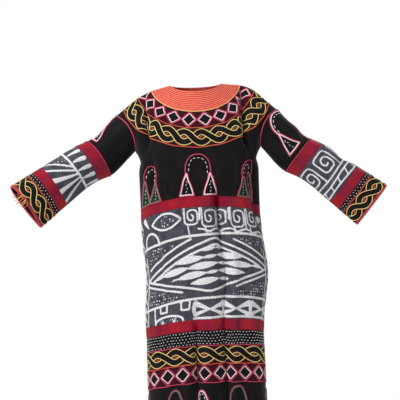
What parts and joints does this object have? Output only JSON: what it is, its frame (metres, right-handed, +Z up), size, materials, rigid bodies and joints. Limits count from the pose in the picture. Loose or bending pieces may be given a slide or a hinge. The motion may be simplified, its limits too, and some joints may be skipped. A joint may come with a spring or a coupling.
{
  "type": "long sleeve dress",
  "caption": "Long straight dress with straight sleeves and a round cord yoke: embroidered velvet bodice, cuffs and border, satin bands, resist-dyed skirt and forearms. Worn shape, hollow.",
  "frame": {"origin": "midway between the shoulders, at the height of the neck's side points, where the wearer's shoulders carry the dress", "axes": "+Z up, the front faces -Y, and the wearer's left arm is on +X"},
  "size_m": [1.2669, 0.3166, 1.3166],
  "materials": {
    "velvet": "black velvet with a short pile and cord embroidery",
    "satin": "red satin ribbon",
    "resist_cotton": "coarse cotton, resist-dyed grey indigo with white figures",
    "cord": "coral cotton cord, laid in rings and stitched",
    "binding": "red twisted edging"
  },
  "bodies": {
    "root": {"collar": "cord", "hem_binding_front": "binding", "border_front": "velvet", "low_band_front": "satin", "skirt_front": "resist_cotton", "waist_band_front": "satin", "bodice_front": "velvet", "hem_binding_back": "binding", "border_back": "velvet", "low_band_back": "satin", "skirt_back": "resist_cotton", "waist_band_back": "satin", "bodice_back": "velvet", "upper_right": "velvet", "upper_band_right": "satin", "forearm_right": "resist_cotton", "lower_band_right": "satin", "cuff_right": "velvet", "cuff_binding_right": "binding", "upper_left": "velvet", "upper_band_left": "satin", "forearm_left": "resist_cotton", "lower_band_left": "satin", "cuff_left": "velvet", "cuff_binding_left": "binding"}
  },
  "joints": []
}
